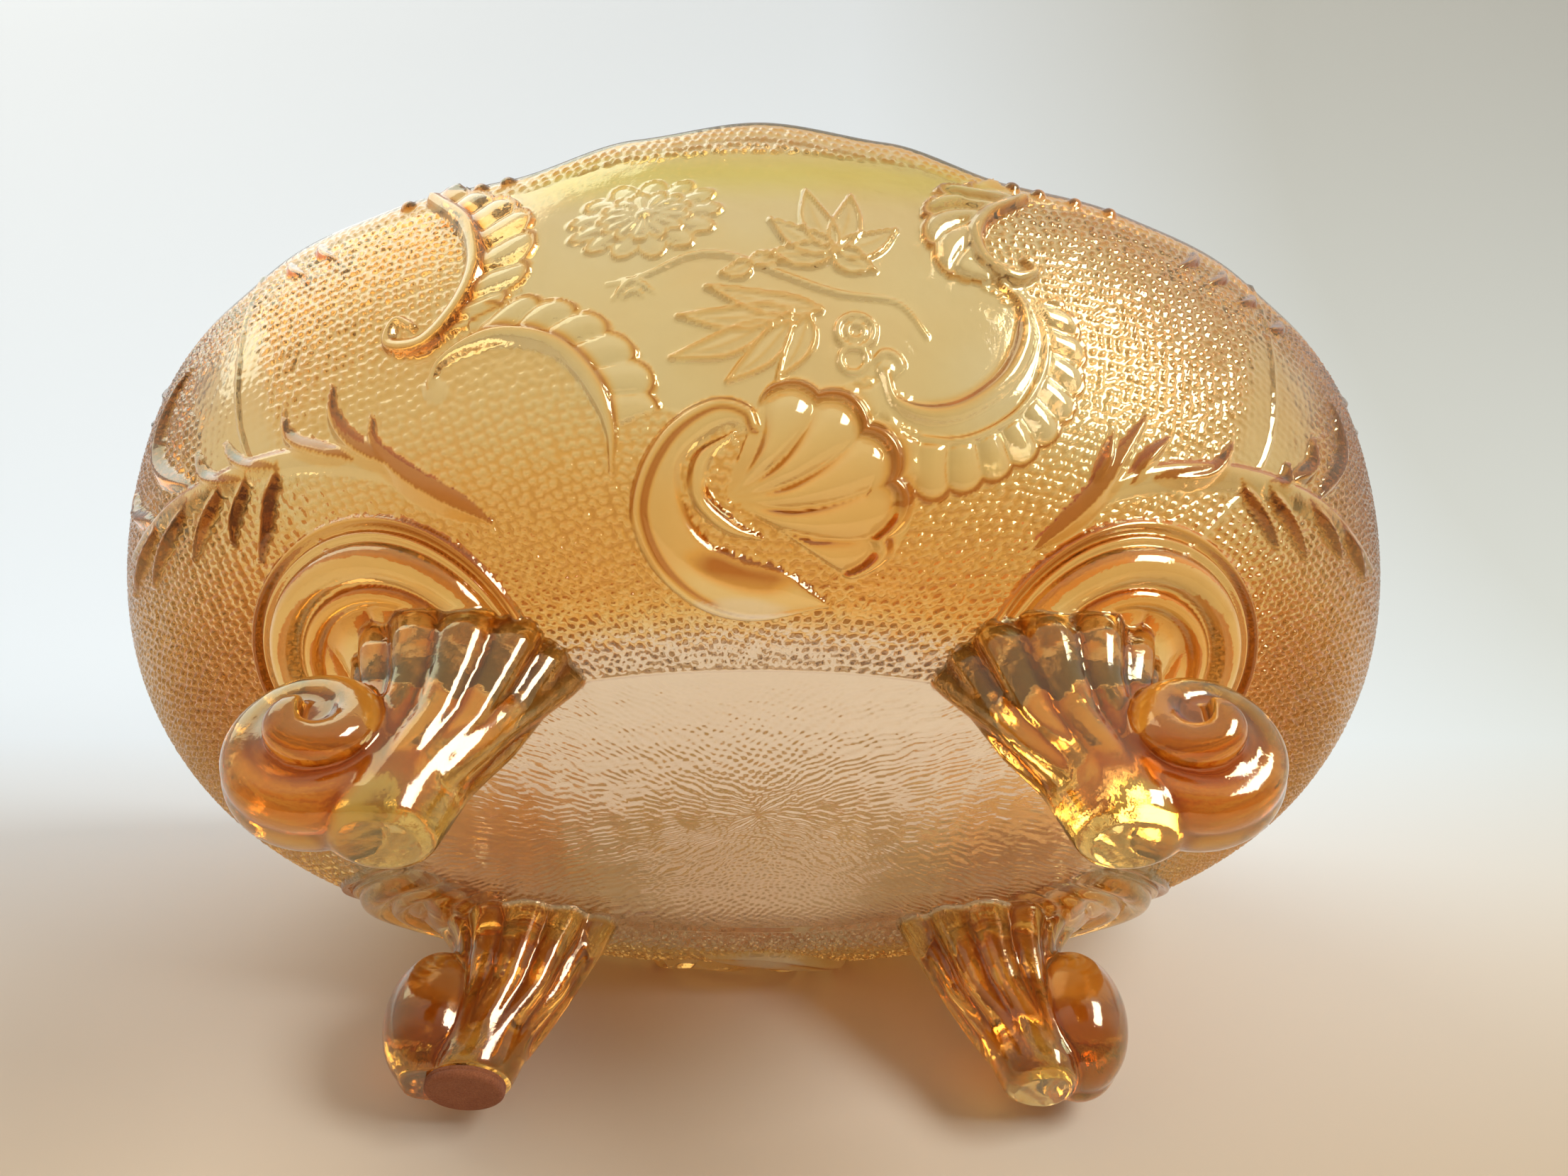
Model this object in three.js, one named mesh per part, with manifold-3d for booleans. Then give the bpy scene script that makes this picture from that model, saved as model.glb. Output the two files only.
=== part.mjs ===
// Oval carnival glass bowl: a pressed amber bowl on four fluted scroll feet, with a felt pad under one foot.
// Millimetres, +Z up, X along the bowl, origin on the table under its centre. -Y is the front panel.
import * as THREE from 'three';
import { mergeVertices } from 'three/addons/utils/BufferGeometryUtils.js';
import Module from 'manifold-3d';

const wasm = await Module();
wasm.setup();

// Bowl
const RIM_HALF_LENGTH = 143;
const RIM_HALF_WIDTH = 104.5;
const RIM_HEIGHT = 117;
const BASE_HEIGHT = 37.5;
const BASE_HALF_LENGTH = 84;
const BASE_HALF_WIDTH = 43;
const WALL = 4.6;
const FLOOR_THICKNESS = 6;

// Scalloped edge: height above RIM_HEIGHT against degrees from the middle of the front panel to an end
const RIM_SCALLOPS = [
  [0, 6], [13, 1], [25, -7], [38, -3.5], [50, -0.5], [56, -2.5], [64, 0], [76, 3.5], [90, 4.5],
];
const SCALLOP_DEPTH = 0.45; // share of the wall's height over which the scallops fade out

// Knees: round bosses in the wall, each about a point over its foot
const KNEE_X = 65;
const KNEE_Y = 41;
const KNEE_Z = 40;
const KNEE_RADIUS = 27;
const KNEE_CREST = 17;
const KNEE_BULGE = 3.5;

// Feet
const FOOT_X = 59;
const FOOT_Y = 43;
const TOE_RADIUS = 7.2;
const FLUTES = 11;
const FLUTE_DEPTH = 0.055;
const LEG_TOP = 52;
const VOLUTE_X = 69.5;
const VOLUTE_Y = 43;
const VOLUTE_Z = 17;
const VOLUTE_RADIUS = 14;
const VOLUTE_HALF_DEPTH = 12;
const SCROLL_TURNS = 1.35;
const SCROLL_RIDGE = 1.7;

// Felt pad under the shorter rear left foot
const PAD_RADIUS = 8.2;
const PAD_THICKNESS = 2.4;
const JOINT_GAP = 0.3;

const GLASS = { color: 0xd9a25a, roughness: 0.06, metalness: 0.05 };
const FELT = { color: 0x8a5a35, roughness: 0.95, metalness: 0 };

const QUARTER = Math.PI / 2;
const AROUND = 96;
const UP_OUTSIDE = 12;
const UP_INSIDE = 9;

function smooth(a, b, x) {
  const t = Math.min(1, Math.max(0, (x - a) / (b - a)));
  return t * t * (3 - 2 * t);
}

// Degrees from the nearest of the two long sides' middles, 0 to 90
function degreesFromFront(angle) {
  return THREE.MathUtils.radToDeg(Math.asin(Math.min(1, Math.abs(Math.cos(angle)))));
}

function scallop(angle) {
  const degrees = degreesFromFront(angle);
  const last = RIM_SCALLOPS.findIndex(([at]) => at >= degrees);
  const [a, low] = RIM_SCALLOPS[Math.max(0, last - 1)];
  const [b, high] = RIM_SCALLOPS[last];
  return a === b ? high : low + (high - low) * smooth(a, b, degrees);
}

// A point of the oval with half axes a and b, at that angle and height
function ovalPoint(a, b, angle, height) {
  const c = Math.cos(angle);
  const s = Math.sin(angle);
  const radius = 1 / Math.hypot(c / a, s / b);
  return new THREE.Vector3(radius * c, radius * s, height);
}

function kneeBulge(point) {
  const distance = Math.hypot(Math.abs(point.x) - KNEE_X, Math.abs(point.y) - KNEE_Y, point.z - KNEE_Z);
  return KNEE_BULGE * smooth(KNEE_RADIUS, KNEE_CREST, distance);
}

// A point of the wall: angle around +Z, share 0 at the foot of the wall to 1 at the rim
function wallPoint(angle, share, inset, floor) {
  const out = Math.sin(share * QUARTER);
  const up = 1 - Math.cos(share * QUARTER);
  const edge = scallop(angle) * smooth(1 - SCALLOP_DEPTH, 1, share);
  const height = THREE.MathUtils.lerp(floor, RIM_HEIGHT, up) + edge;
  const a = THREE.MathUtils.lerp(BASE_HALF_LENGTH, RIM_HALF_LENGTH, out) - inset;
  const b = THREE.MathUtils.lerp(BASE_HALF_WIDTH, RIM_HALF_WIDTH, out) - inset;
  const bulge = inset > 0 ? 0 : kneeBulge(ovalPoint(a, b, angle, height));
  return ovalPoint(a + bulge, b + bulge, angle, height);
}

// A closed solid from rings of points, each end closed by a fan to the given point
function ringSolid(rings, first, last) {
  const around = rings[0].length;
  const positions = [first, ...rings.flat(), last].flatMap((p) => [p.x, p.y, p.z]);
  const faces = [];
  const at = (ring, i) => 1 + ring * around + (i % around);
  for (let i = 0; i < around; i += 1) {
    faces.push(0, at(0, i + 1), at(0, i));
    faces.push(rings.length * around + 1, at(rings.length - 1, i), at(rings.length - 1, i + 1));
    for (let ring = 0; ring < rings.length - 1; ring += 1) {
      faces.push(at(ring, i), at(ring, i + 1), at(ring + 1, i + 1));
      faces.push(at(ring, i), at(ring + 1, i + 1), at(ring + 1, i));
    }
  }
  const geometry = new THREE.BufferGeometry();
  geometry.setAttribute('position', new THREE.Float32BufferAttribute(positions, 3));
  geometry.setIndex(faces);
  return geometry;
}

function ring(point) {
  return Array.from({ length: AROUND }, (_, i) => point((i / AROUND) * 2 * Math.PI));
}

function wallRings(steps, inset, floor) {
  const shares = Array.from({ length: steps + 1 }, (_, k) => k / steps);
  return shares.map((share) => ring((angle) => wallPoint(angle, share, inset, floor)));
}

function bowlGeometry() {
  const floorTop = BASE_HEIGHT + FLOOR_THICKNESS;
  const outside = wallRings(UP_OUTSIDE, 0, BASE_HEIGHT);
  const inside = wallRings(UP_INSIDE, WALL, floorTop).reverse();
  // The fire-polished edge stands a little above both faces
  const edge = ring((angle) => wallPoint(angle, 1, WALL / 2, floorTop).add(new THREE.Vector3(0, 0, 1.2)));
  return ringSolid(
    [...outside, edge, ...inside],
    new THREE.Vector3(0, 0, BASE_HEIGHT),
    new THREE.Vector3(0, 0, floorTop),
  );
}

// What the feet are cut back by: the bowl's outside, filled, and larger by the joint gap
function bowlCutter() {
  return ringSolid(
    wallRings(UP_OUTSIDE, -JOINT_GAP, BASE_HEIGHT - JOINT_GAP),
    new THREE.Vector3(0, 0, BASE_HEIGHT - JOINT_GAP),
    new THREE.Vector3(0, 0, RIM_HEIGHT),
  );
}

function solidOf(geometry) {
  const bare = geometry.clone();
  bare.deleteAttribute('normal');
  bare.deleteAttribute('uv');
  const merged = mergeVertices(bare, 1e-4);
  return new wasm.Manifold(new wasm.Mesh({
    numProp: 3,
    vertProperties: new Float32Array(merged.attributes.position.array),
    triVerts: new Uint32Array(merged.index.array),
  }));
}

function geometryOf(solid) {
  const mesh = solid.getMesh();
  const geometry = new THREE.BufferGeometry();
  geometry.setAttribute('position', new THREE.Float32BufferAttribute(mesh.vertProperties, 3));
  geometry.setIndex(Array.from(mesh.triVerts));
  return geometry;
}

// Leg sections from the toe up: height, how far the centre lies inside and outside the toe's along x and y,
// half width along x and along y
const LEG_SECTIONS = [
  [0, 0, 0, TOE_RADIUS, TOE_RADIUS],
  [3.5, 0, 0, 9.6, 9.2],
  [12, 2, 0, 10.6, 9.6],
  [20, 5, 0, 13, 10],
  [28, 8, 0, 17, 11.5],
  [35, 9.5, 1, 21.5, 14],
  [42, 9, 1.5, 26, 17],
  [LEG_TOP, 8, 2, 29, 19],
];

function legGeometry(bottom) {
  const around = 44;
  const rings = LEG_SECTIONS.map(([z, inward, outward, halfX, halfY]) => {
    const depth = FLUTE_DEPTH * smooth(3, 20, z);
    return Array.from({ length: around }, (_, i) => {
      const angle = (i / around) * 2 * Math.PI;
      const flute = 1 - depth + depth * Math.cos(FLUTES * angle);
      return new THREE.Vector3(
        FOOT_X - inward + halfX * flute * Math.cos(angle),
        FOOT_Y + outward + halfY * flute * Math.sin(angle),
        Math.max(z, bottom),
      );
    });
  });
  const middle = (height) => new THREE.Vector3(FOOT_X, FOOT_Y, height);
  return ringSolid(rings, middle(bottom), middle(LEG_TOP));
}

function voluteGeometry() {
  const ball = new THREE.SphereGeometry(1, 22, 14);
  ball.scale(VOLUTE_RADIUS, VOLUTE_HALF_DEPTH, VOLUTE_RADIUS);
  ball.translate(VOLUTE_X, VOLUTE_Y, VOLUTE_Z);
  return ball;
}

// The raised spiral on the volute's outer face, from the toe round the outside and in to the eye
class ScrollCurve extends THREE.Curve {
  getPoint(t, target = new THREE.Vector3()) {
    const turn = -QUARTER - 0.5 + t * SCROLL_TURNS * 2 * Math.PI;
    const reach = THREE.MathUtils.lerp(0.93, 0.22, t);
    const depth = VOLUTE_HALF_DEPTH * Math.sqrt(1 - reach * reach);
    return target.set(
      VOLUTE_X + VOLUTE_RADIUS * reach * Math.cos(turn),
      VOLUTE_Y + depth - 0.3,
      VOLUTE_Z + VOLUTE_RADIUS * reach * Math.sin(turn),
    );
  }
}

function scrollGeometry() {
  const section = new THREE.Shape();
  section.absarc(0, 0, SCROLL_RIDGE, 0, 2 * Math.PI);
  return new THREE.ExtrudeGeometry(section, { extrudePath: new ScrollCurve(), steps: 26, curveSegments: 3 });
}

const cutter = solidOf(bowlCutter());

// A foot for the +x +y corner, mirrored into its own corner by the signs
function footGeometry(signX, signY, bottom) {
  const whole = solidOf(legGeometry(bottom))
    .add(solidOf(voluteGeometry()))
    .add(solidOf(scrollGeometry()));
  const corner = whole.scale([signX, signY, 1]);
  return geometryOf(corner.subtract(cutter));
}

function padGeometry() {
  const edge = 0.35;
  const waist = PAD_RADIUS - 0.25;
  const middle = PAD_THICKNESS / 2;
  const profile = [
    [0, 0],
    [PAD_RADIUS - edge, 0],
    [PAD_RADIUS, edge],
    [PAD_RADIUS, middle - 0.15],
    [waist, middle],
    [PAD_RADIUS, middle + 0.15],
    [PAD_RADIUS, PAD_THICKNESS - edge],
    [PAD_RADIUS - edge, PAD_THICKNESS],
    [0, PAD_THICKNESS],
  ].map(([x, y]) => new THREE.Vector2(x, y));
  const pad = new THREE.LatheGeometry(profile, 36);
  pad.rotateX(QUARTER);
  return pad;
}

const part = new THREE.Group();

function addPiece(name, geometry, finish) {
  const mesh = new THREE.Mesh(geometry, new THREE.MeshStandardMaterial(finish));
  mesh.name = name;
  part.add(mesh);
  return mesh;
}

addPiece('bowl', bowlGeometry(), GLASS);

const CORNERS = [
  ['foot_front_left', -1, -1, 0],
  ['foot_front_right', 1, -1, 0],
  ['foot_rear_left', -1, 1, PAD_THICKNESS + JOINT_GAP],
  ['foot_rear_right', 1, 1, 0],
];
for (const [name, signX, signY, bottom] of CORNERS) {
  addPiece(name, footGeometry(signX, signY, bottom), GLASS);
}

const pad = addPiece('felt_pad', padGeometry(), FELT);
pad.position.set(-FOOT_X, FOOT_Y, 0);

export default part;
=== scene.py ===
"""Carnival glass bowl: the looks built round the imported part.

The wall is an oval bowl surface on which places are given as (degrees from the middle of the
front, share of the way from base edge to rim). Relief is drawn on it with curves and is raised
in the mesh. Lengths are millimetres up to the stage section, where they are metres.
"""

import math

import bmesh
import bpy
import numpy as np
from mathutils import Matrix, Vector, kdtree


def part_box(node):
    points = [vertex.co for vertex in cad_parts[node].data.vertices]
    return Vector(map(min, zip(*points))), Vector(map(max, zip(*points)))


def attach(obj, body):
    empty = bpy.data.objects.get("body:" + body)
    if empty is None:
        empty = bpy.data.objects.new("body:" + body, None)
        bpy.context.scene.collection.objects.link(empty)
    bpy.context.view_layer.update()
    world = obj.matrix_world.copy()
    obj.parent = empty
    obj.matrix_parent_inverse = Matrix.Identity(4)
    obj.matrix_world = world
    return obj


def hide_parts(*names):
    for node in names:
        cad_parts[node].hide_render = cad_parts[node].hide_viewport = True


MM = 0.001

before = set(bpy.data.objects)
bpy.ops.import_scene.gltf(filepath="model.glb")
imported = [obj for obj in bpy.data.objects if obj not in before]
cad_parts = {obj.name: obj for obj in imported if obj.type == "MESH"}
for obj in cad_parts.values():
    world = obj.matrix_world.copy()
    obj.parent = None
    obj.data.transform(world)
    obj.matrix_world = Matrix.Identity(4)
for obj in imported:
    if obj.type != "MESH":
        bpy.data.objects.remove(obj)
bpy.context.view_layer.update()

# --- the bowl's surface, as in the part ---
RIM_HALF_LENGTH = 143
RIM_HALF_WIDTH = 104.5
RIM_HEIGHT = 117
BASE_HEIGHT = 37.5
BASE_HALF_LENGTH = 84
BASE_HALF_WIDTH = 43
WALL = 4.6
FLOOR_THICKNESS = 6
INNER_FLOOR = BASE_HEIGHT + FLOOR_THICKNESS
# the rim's rise and fall: (degrees from the middle of the front or back, height over RIM_HEIGHT)
RIM_SCALLOPS = [(0, 6), (13, 1), (25, -7), (38, -3.5), (50, -0.5), (56, -2.5), (64, 0), (76, 3.5), (90, 4.5)]
SCALLOP_DEPTH = 0.45  # the share of the wall, from the rim down, that follows the scallops
KNEE = np.array([65, 41, 40])  # the middle of the swelling over a foot
KNEE_RADIUS = 27  # where it starts
KNEE_CREST = 17  # where it is fully KNEE_BULGE high
KNEE_BULGE = 3.5
WALL_ARC = 108  # from base edge to rim along the wall
SHARE_TO_DEGREES = np.array([1, 70])  # a whole share up the wall is about as long as 70 degrees round it

# --- mesh fineness ---
COLUMNS = 1600
ROWS = 232
INNER_COLUMNS = 400
INNER_ROWS = 44
VOXEL = 0.62


def smooth(a, b, x):
    """0 at a, 1 at b, with a soft start and end."""
    t = np.clip((x - a) / (b - a), 0, 1)
    return t * t * (3 - 2 * t)


def scallop(angle):
    """How far the rim stands over or under RIM_HEIGHT."""
    degrees = np.degrees(np.arctan2(np.abs(np.cos(angle)), np.abs(np.sin(angle))))
    height = np.zeros_like(degrees)
    for (a, low), (b, high) in zip(RIM_SCALLOPS, RIM_SCALLOPS[1:]):
        height = np.where(degrees >= a, low + (high - low) * smooth(a, b, degrees), height)
    return height


def oval_point(a, b, angle, height):
    radius = 1 / np.hypot(np.cos(angle) / a, np.sin(angle) / b)
    return np.stack([radius * np.cos(angle), radius * np.sin(angle), height + 0 * radius], axis=-1)


def folded(point):
    """Where the point is in the +X +Y quarter, which the other quarters mirror."""
    return np.abs(point) * [1, 1, 0] + point * [0, 0, 1]


def knee_distance(point):
    return np.linalg.norm(folded(point) - KNEE, axis=-1)


def wall_point(angle, share, inset=0.0, floor=BASE_HEIGHT):
    """A point of the wall: a quarter ellipse from base edge to rim, swollen at the knees outside."""
    out = np.sin(share * math.pi / 2)
    up = 1 - np.cos(share * math.pi / 2)
    height = floor + (RIM_HEIGHT - floor) * up + scallop(angle) * smooth(1 - SCALLOP_DEPTH, 1, share)
    a = BASE_HALF_LENGTH + (RIM_HALF_LENGTH - BASE_HALF_LENGTH) * out - inset
    b = BASE_HALF_WIDTH + (RIM_HALF_WIDTH - BASE_HALF_WIDTH) * out - inset
    if inset > 0:
        return oval_point(a, b, angle, height)
    bulge = KNEE_BULGE * smooth(KNEE_RADIUS, KNEE_CREST, knee_distance(oval_point(a, b, angle, height)))
    return oval_point(a + bulge, b + bulge, angle, height)


def on_wall(places):
    """Points of the outer wall at (degrees, share) places."""
    places = np.asarray(places, float)
    return wall_point(np.radians(270 + places[..., 0]), places[..., 1])


# --- drawing on the wall ---

def curve(points, steps=8):
    """A smooth line through a few places or points."""
    p = np.array(points, float)
    p = np.vstack([2 * p[0] - p[1], p, 2 * p[-1] - p[-2]])
    t = np.linspace(0, 1, steps, endpoint=False)[:, None]
    parts = [
        0.5 * (2 * b + (c - a) * t + (2 * a - 5 * b + 4 * c - d) * t**2 + (3 * b - a - 3 * c + d) * t**3)
        for a, b, c, d in zip(p, p[1:], p[2:], p[3:])
    ]
    return np.vstack(parts + [p[-2][None]])


def scale_at(place):
    """Millimetres for one degree round the wall and for one whole share up it."""
    here, beside, above = on_wall([place, (place[0] + 1, place[1]), (place[0], place[1] + 0.01)])
    return np.linalg.norm(beside - here), np.linalg.norm(above - here) * 100


class Panel:
    """Half of the outer wall, from one end of the bowl to the other, with its relief in mm."""

    def __init__(self):
        degrees = -90 + np.arange(COLUMNS // 2) * 360 / COLUMNS
        shares = np.linspace(0, 1, ROWS + 1)
        self.share, self.degrees = np.meshgrid(shares, degrees, indexing="ij")
        self.u = self.degrees.ravel()
        self.v = self.share.ravel()
        self.points = on_wall(np.stack([self.u, self.v], axis=-1))
        self.height = np.zeros(self.u.size)
        self.tone = np.zeros(self.u.size)  # how deep the amber is, from 0 to 1: the film's own depth, with painted shade on steep flanks and in grooves
        self.grain = np.ones(self.u.size)  # how pebbled the ground is, from 0 to 1

    def near(self, places, reach):
        """For wall points near a line: their numbers, distance, share of its length, and side."""
        line = np.array(places, float)
        pad = reach * 1.1, reach / 85  # about the reach or more, in degrees and in share
        low, high = line.min(axis=0) - pad, line.max(axis=0) + pad
        inside = (self.u > low[0]) & (self.u < high[0]) & (self.v > low[1]) & (self.v < high[1])
        at = np.nonzero(inside)[0]
        spots = on_wall(line)
        start, step = spots[:-1], np.diff(spots, axis=0)
        length = np.linalg.norm(step, axis=1)
        offset = self.points[at][:, None] - start[None]
        t = np.clip((offset * step).sum(-1) / np.maximum(length**2, 1e-9), 0, 1)
        distances = np.linalg.norm(offset - t[..., None] * step, axis=-1)
        best = distances.argmin(axis=1)
        rows = np.arange(at.size)
        distance = distances[rows, best]
        before = np.concatenate([[0], np.cumsum(length)])[best]
        travelled = (before + t[rows, best] * length[best]) / length.sum()
        along = np.diff(line, axis=0)[best] * SHARE_TO_DEGREES
        away = (np.stack([self.u[at], self.v[at]], -1) - line[:-1][best]) * SHARE_TO_DEGREES
        side = np.sign(along[:, 0] * away[:, 1] - along[:, 1] * away[:, 0])
        close = distance < reach
        return at[close], distance[close], travelled[close], side[close]

    def raise_to(self, at, height):
        self.height[at] = np.maximum(self.height[at], height)

    # deepens the tone: the film's own depth, and painted shade on flanks and in grooves
    def add_film_and_shade(self, at, tone):
        self.tone[at] = np.maximum(self.tone[at], tone)

    def polish(self, at, amount=1.0):
        """Takes the stipple away."""
        self.grain[at] = np.minimum(self.grain[at], 1 - amount)

    def ridge(self, points, width, height, start=1.0, end=1.0, lean=0.0, film=0.95):
        """A rounded bead of glass along a line; start and end are its width there, as a share.

        A leaning bead has its crest to one side, and deeper film with painted shade down that steeper side.
        """
        at, distance, s, side = self.near(curve(points), width * 1.6)
        taper = (start + (1 - start) * smooth(0, 0.3, s)) * (end + (1 - end) * smooth(1, 0.7, s))
        across = side * distance / (width * np.maximum(taper, 0.05))
        off_crest = across - lean
        across = np.where(off_crest > 0, off_crest / (1 - lean), off_crest / (1 + lean))
        body = np.clip(1 - across**2, 0, 1) ** 0.8
        self.raise_to(at, height * taper**0.5 * body)
        self.polish(at[body > 0])
        if lean:
            # the stripe: deeper film and painted shade on the steep flank
            stripe = film * np.exp(-(((across - 0.7 * np.sign(lean)) / 0.6) ** 2)) * taper**0.5
            self.add_film_and_shade(at, stripe)

    def blade(self, points, width, side, height=2.1):
        """A curved leaf like a sabre, its root first: one half steep and dark with painted shade, the other
        flat.
        """
        at, distance, s, where = self.near(curve(points), width * 1.1)
        half = width * np.sin(math.pi * np.clip(s, 0.02, 1) ** 0.8) ** 0.7 * (1 - 0.2 * s)
        across = np.clip(distance / np.maximum(half, 0.05), 0, 1)
        steep = where == side
        body = np.where(steep, (1 - across) ** 0.6, 1 - across)
        self.raise_to(at, height * body * (0.45 + 0.55 * np.sin(math.pi * s)))
        self.polish(at[across < 1])
        # painted shade: the steep half far darker than the flat half
        self.add_film_and_shade(at, np.where(steep, 0.9, 0.3) * smooth(1.0, 0.75, across))

    def between(self, inner, outer, reach):
        """Points in the strip from one line to another: numbers, share across, share along."""
        at, near_inner, s_inner, side_inner = self.near(curve(inner), reach)
        other, near_outer, s_outer, side_outer = self.near(curve(outer), reach)
        both, first, second = np.intersect1d(at, other, return_indices=True)
        across = near_inner[first] / (near_inner[first] + near_outer[second] + 1e-6)
        along = (1 - across) * s_inner[first] + across * s_outer[second]
        inside = side_inner[first] != side_outer[second]
        inside &= side_inner[first] == self.strip_side(inner, outer)
        inside &= (s_inner[first] > 0) & (s_inner[first] < 1)
        return both[inside], across[inside], along[inside]

    @staticmethod
    def strip_side(inner, outer):
        """On which side of the inner line the outer one runs."""
        middle = len(inner) // 2
        before, here, after = np.array(inner[middle - 1:middle + 2]) * SHARE_TO_DEGREES
        there = np.array(outer[len(outer) // 2]) * SHARE_TO_DEGREES
        along, away = after - before, there - here
        return np.sign(along[0] * away[1] - along[1] * away[0])

    def fan(self, inner, outer, count, height=1.1, slant=0.0, reach=17, border=0.9, floor=0.25):
        """A strip of rounded flutes with a scalloped outer edge and a raised, dark border."""
        at, across, along = self.between(inner, outer, reach)
        flute = np.abs(np.sin(math.pi * count * (along + slant * across)))
        edge = 0.78 + 0.17 * flute**0.7
        inside = across < edge
        body = (floor + (1 - floor) * flute**0.6) * np.clip(1 - (across / edge) ** 5, 0, 1) ** 0.5
        self.raise_to(at[inside], height * body[inside] * smooth(0, 0.15, across[inside]))
        rim = np.exp(-(((across - edge - 0.03) / 0.055) ** 2))
        self.raise_to(at, border * rim)
        self.add_film_and_shade(at, 0.9 * rim**0.5)
        self.polish(at)

    def crescent(self, outer, inner, height, reach=12, tone=0.0):
        """A smooth horn between two lines that meet at their ends, with a pocket of film."""
        at, across, along = self.between(outer, inner, reach)
        body = np.clip(1 - (2 * across - 0.85) ** 2 / 1.35, 0, 1) ** 0.75
        self.raise_to(at, height * body * np.sin(math.pi * np.clip(along, 0.03, 0.97)) ** 0.3)
        pocket = smooth(0.35, 0.6, across) * smooth(0.98, 0.75, across)
        pocket = pocket * smooth(0.5, 0.62, along) * smooth(0.92, 0.8, along)
        self.add_film_and_shade(at, tone * np.maximum(0.1, pocket))
        self.polish(at)

    def offsets(self, centre):
        """Every point's distance across and up from a place, in mm."""
        per_degree, per_share = scale_at(centre)
        return (self.u - centre[0]) * per_degree, (self.v - centre[1]) * per_share

    def rosette(self, centre, half_width, half_height, petals):
        """A double flower of thin raised outlines, each petal slightly domed."""
        x, y = self.offsets(centre)
        radius = np.hypot(x / half_width, y / half_height)
        at = np.nonzero(radius < 1.2)[0]
        radius, turn = radius[at], np.arctan2(y[at] / half_height, x[at] / half_width)
        for size, shift, lift in ((1.0, 0.0, 0.85), (0.62, 0.5, 1.4)):
            lobe = np.abs(np.cos((turn * petals + shift * 2 * math.pi) / 2))
            edge = size * (0.74 + 0.26 * lobe**0.7)
            inside = radius < edge
            dome = np.clip(1 - (radius / edge) ** 4, 0, 1) ** 0.5 * (0.35 + 0.65 * lobe**0.6)
            self.raise_to(at[inside], lift * dome[inside])
            outline = np.exp(-(((radius - edge) / 0.045) ** 2))
            self.raise_to(at, lift * 0.9 * outline)
            self.add_film_and_shade(at, 0.5 * outline)
        self.raise_to(at, 1.8 * np.clip(1 - (radius / 0.17) ** 2, 0, 1) ** 0.6)

    def ring(self, centre, radius, width, height):
        x, y = self.offsets(centre)
        distance = np.abs(np.hypot(x, y) - radius)
        at = np.nonzero(distance < width)[0]
        self.raise_to(at, height * (1 - (distance[at] / width) ** 2) ** 0.7)

    def bead(self, centre, radius, height, tone=0.0):
        x, y = self.offsets(centre)
        distance = np.hypot(x, y) / radius
        at = np.nonzero(distance < 1)[0]
        self.raise_to(at, height * np.sqrt(1 - distance[at] ** 2))
        self.polish(at)
        self.add_film_and_shade(at, tone)

    def beads(self, points, count, radius, height, tone=0.6):
        line = curve(points)
        for k in np.linspace(0, len(line) - 1, count):
            self.bead(line[int(round(k))], radius, height, tone)

    def clear_inside(self, outline):
        """Polishes the wall inside a closed outline."""
        inside = np.zeros(self.u.size, bool)
        corners = np.array(outline + outline[:1], float)
        for (x0, y0), (x1, y1) in zip(corners, corners[1:]):
            crosses = (y0 > self.v) != (y1 > self.v)
            with np.errstate(divide="ignore", invalid="ignore"):
                inside ^= crosses & (self.u < (x1 - x0) * (self.v - y0) / (y1 - y0) + x0)
        self.polish(inside)


def upper_left_scroll(panel):
    ridge = [(-33, 0.97), (-29, 0.88), (-28, 0.78), (-30, 0.7), (-34, 0.645)]
    curl = [(-37.5, 0.66), (-36.5, 0.7), (-35, 0.68)]
    border = [(-29.5, 0.99), (-24, 0.92), (-22, 0.83), (-23, 0.73), (-27, 0.67), (-31, 0.645)]
    panel.fan(ridge, border, 7, height=1.5, slant=0.12, reach=15)
    panel.ridge(ridge + curl, 2.3, 2.4, start=0.8, end=0.35, lean=0.25)


def lower_left_scroll(panel):
    ridge = [(-29.5, 0.62), (-25.5, 0.62), (-21, 0.585), (-18, 0.52), (-17, 0.45)]
    border = [(-27, 0.69), (-23, 0.69), (-18.5, 0.655), (-14.5, 0.6), (-11.5, 0.53), (-11, 0.46)]
    panel.fan(ridge, border, 6, height=1.5, slant=-0.08, reach=16)
    ridge = [(-34.5, 0.57), (-33, 0.6)] + ridge + [(-18, 0.38)]
    panel.ridge(ridge, 2.1, 2.3, start=0.4, end=0.25, lean=0.25)
    panel.bead((-34.3, 0.56), 2.6, 0.7)


def upper_right_scroll(panel):
    ridge = [(26, 0.95), (22.5, 0.88), (21, 0.81), (22, 0.76), (25, 0.74), (27.2, 0.765), (26, 0.79)]
    border = [(21.5, 0.96), (18, 0.91), (16, 0.83), (16.5, 0.76), (19, 0.71), (22, 0.715)]
    panel.fan(ridge[:4], border, 5, height=1.5, slant=-0.1, reach=13)
    panel.ridge(ridge, 2.1, 2.3, start=0.8, end=0.35, lean=0.25)


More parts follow.
